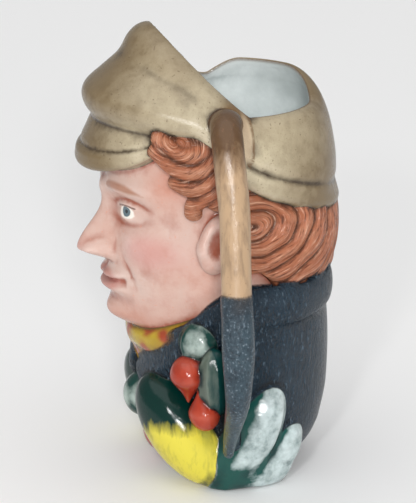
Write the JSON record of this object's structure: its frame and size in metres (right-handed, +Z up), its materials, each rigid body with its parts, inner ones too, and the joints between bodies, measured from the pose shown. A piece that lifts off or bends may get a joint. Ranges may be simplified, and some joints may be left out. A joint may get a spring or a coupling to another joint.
{
  "type": "character jug",
  "caption": "Glazed character jug: a bust in a soft cap, hollow and open at the top, vegetables round the foot and a spade for its handle.",
  "frame": {"origin": "middle of the flat base, on the surface that the jug stands on", "axes": "+Z up, the face looks towards -Y, the spade handle is on the +X side"},
  "size_m": [0.1301, 0.1094, 0.19],
  "materials": {
    "glaze": "hand-painted under a clear gloss glaze"
  },
  "bodies": {
    "root": {"jug": "glaze"}
  },
  "joints": []
}
